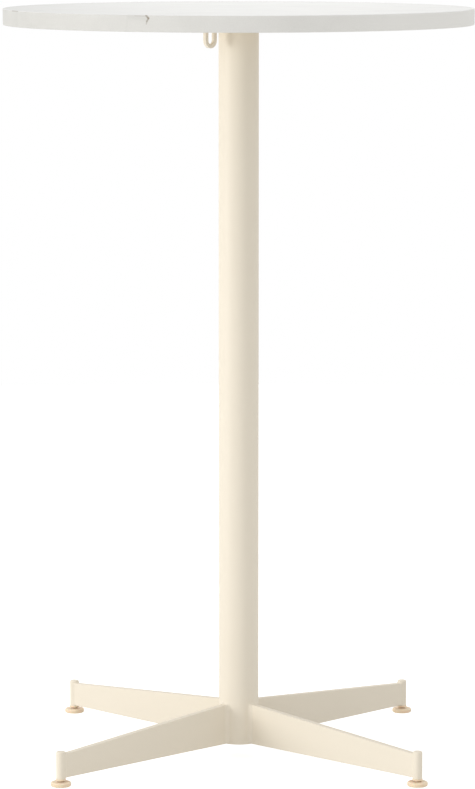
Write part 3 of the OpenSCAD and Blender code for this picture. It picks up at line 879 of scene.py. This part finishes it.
def dress_head():
    """Stone, column, the weld under the plate, and the welds at the bag eye's two ends.

    The eye's bar has the outline of a soft square: r(t) = half side / (|cos t|^8 + |sin t|^8)^(1/8).
    """
    dress(stone_slab(), "table", "stone", "table_top")
    dress(column_tube(), "table", "powder_coat", "column_tube")
    round_bar = np.full(240, COLUMN_R)
    bead = ring_weld("column_head_bead", round_bar, PLATE_UNDER, HEAD_WELD_R, 2.4 * MM, 0.2 * MM)
    dress(bead, "table", "powder_coat", "column_head_weld")
    t = around(120)
    square_bar = EYE_BAR / 2 / (np.abs(np.cos(t)) ** 8 + np.abs(np.sin(t)) ** 8) ** (1 / 8)
    turn = math.atan2(*reversed(middle("foot_post_front_left")))
    square_bar = np.roll(square_bar, round(turn / TURN * len(t)))
    for side, shift in (("in", -1), ("out", 1)):
        reach = EYE_REACH + shift * (EYE_WIDTH - EYE_BAR) / 2
        place = (reach * math.cos(turn), reach * math.sin(turn))
        name = "bag_eye_bead_" + side
        bead = ring_weld(name, square_bar, PLATE_UNDER, EYE_WELD_R, 1.3 * MM, 0.1 * MM, place)
        dress(bead, "table", "powder_coat", "bag_eye_welds")


def dress_foot(foot):
    """A leg's welds at column and post, its glide's pad, collar and stud, and the two screws above it."""
    x, y = middle("foot_post_" + foot)
    turn = math.atan2(y, x)
    root_low = LEG_LOW_ROOT + LEG_EDGE_R
    root = leg_weld(
        COLUMN_R, root_low, LEG_TOP_ROOT, LEG_FALL, ROOT_WELD_R, ROOT_OVER_R, 2.4 * MM, 0.15 * MM
    )
    bead = skin("leg_root_bead_" + foot, turned(root, turn), crease=35)
    dress(bead, "table", "powder_coat", "leg_root_welds_" + foot)
    tip_low = LEG_LOW_TIP + LEG_EDGE_R
    tip_top = LEG_TOP_TIP + LEG_FALL * POST_R
    tip = leg_weld(
        POST_R, tip_low, tip_top, -LEG_FALL, TIP_WELD_R, TIP_OVER_R, 1.8 * MM, 0.1 * MM
    )
    tip = tip * np.array([-1.0, 1.0, 1.0])
    bead = skin("leg_tip_bead_" + foot, turned(tip, turn, FOOT_REACH), crease=35)
    dress(bead, "table", "powder_coat", "leg_tip_welds_" + foot)
    dress(glide_pad(foot), "glide_" + foot, "nylon", "glide_pad_" + foot)
    dress(glide_collar(foot), "stud_" + foot, "nylon", "glide_collar_" + foot)
    dress(glide_stud(foot), "stud_" + foot, "zinc", "glide_stud_" + foot)
    for row, reach in (("in", SCREW_ROW_IN), ("out", SCREW_ROW_OUT)):
        place = (reach * math.cos(turn), reach * math.sin(turn))
        dress(plate_screw("plate_screw_" + row + "_" + foot, place), "table", "zinc", "plate_screws")


dress_nodes()
dress_head()
for foot in FEET:
    dress_foot(foot)

# Studio

FLOOR_R = 4.5
FLOOR_GLOW = 0.56
EVEN_LIGHT = 0.79


def seen_straight(tree):
    """1 for rays from the camera, and for those by which gloss and glass show the surroundings."""
    path = add(tree, "ShaderNodeLightPath").outputs
    through = maths(tree, "MAXIMUM", path["Is Glossy Ray"], path["Is Transmission Ray"])
    return maths(tree, "MAXIMUM", path["Is Camera Ray"], through)


def make_floor():
    """Round pale floor, just below the glides when they are screwed out. Seen straight it is brightened
    to white, and it keeps the table's shadow. The camera sees through it from below, to show the
    underside."""
    t = around(128)
    joints = frame["record"]["behaviour"]["joints"]
    travel = max(joint["range_m"][1] for joint in joints if "range_m" in joint)
    level = np.full(len(t), -travel - 0.4 * MM)
    rim = np.column_stack([FLOOR_R * np.cos(t), FLOOR_R * np.sin(t), level])
    mesh = bpy.data.meshes.new("floor")
    mesh.from_pydata(rim.tolist(), [], [list(range(len(t)))])
    floor = bpy.data.objects.new("floor", mesh)
    bpy.context.scene.collection.objects.link(floor)
    made, tree, surface, _ = start_material("floor", 0.9, Specular_IOR_Level=0.0)
    surface.inputs["Base Color"].default_value = (0.78, 0.78, 0.77, 1.0)
    glow = add(tree, "ShaderNodeEmission", sockets={"Strength": FLOOR_GLOW})
    brightened = add(tree, "ShaderNodeAddShader")
    feed(tree, surface.outputs[0], brightened.inputs[0])
    feed(tree, glow.outputs[0], brightened.inputs[1])
    choice = add(tree, "ShaderNodeMixShader")
    feed(tree, seen_straight(tree), choice.inputs[0])
    feed(tree, surface.outputs[0], choice.inputs[1])
    feed(tree, brightened.outputs[0], choice.inputs[2])
    facing_down = add(tree, "ShaderNodeNewGeometry").outputs["Backfacing"]
    from_below = add(tree, "ShaderNodeMixShader")
    camera_ray = add(tree, "ShaderNodeLightPath").outputs["Is Camera Ray"]
    feed(tree, maths(tree, "MULTIPLY", facing_down, camera_ray), from_below.inputs[0])
    feed(tree, choice.outputs[0], from_below.inputs[1])
    feed(tree, add(tree, "ShaderNodeBsdfTransparent").outputs[0], from_below.inputs[2])
    feed(tree, from_below.outputs[0], tree.nodes["Material Output"].inputs["Surface"])
    mesh.materials.append(made)


def make_world():
    """Even pale light from all round. Seen straight it is white."""
    world = bpy.data.worlds.new("world")
    bpy.context.scene.world = world
    world.use_nodes = True
    tree = world.node_tree
    even = tree.nodes["Background"]
    even.inputs["Color"].default_value = (1.0, 1.0, 1.0, 1.0)
    even.inputs["Strength"].default_value = EVEN_LIGHT
    plain_white = {"Color": (1.0, 1.0, 1.0, 1.0), "Strength": 1.0}
    white = add(tree, "ShaderNodeBackground", sockets=plain_white)
    choice = add(tree, "ShaderNodeMixShader")
    feed(tree, seen_straight(tree), choice.inputs[0])
    feed(tree, even.outputs[0], choice.inputs[1])
    feed(tree, white.outputs[0], choice.inputs[2])
    feed(tree, choice.outputs[0], tree.nodes["World Output"].inputs["Surface"])


def make_lamp(name, place, aim, size, power):
    """Square soft lamp at place that faces aim. The camera doesn't see it."""
    data = bpy.data.lights.new(name, "AREA")
    data.size = size
    data.energy = power
    lamp = bpy.data.objects.new(name, data)
    lamp.visible_camera = False
    bpy.context.scene.collection.objects.link(lamp)
    back = np.subtract(place, aim)
    back = back / np.linalg.norm(back)
    right = np.cross((0, 0, 1), back)
    right = right / np.linalg.norm(right)
    lamp.matrix_world = facing(right, np.cross(back, right), back, place)


make_floor()
make_world()
make_lamp("key", (-3.7, -1.5, 0.95), (0.0, 0.0, 0.6), 1.5, 60.0)
make_lamp("ceiling", (0.0, 0.3, 3.6), (0.0, 0.0, 1.1), 1.4, 20.0)
make_lamp("fill", (0.15, -0.85, 0.07), (0.0, 0.0, 0.03), 0.3, 0.34)
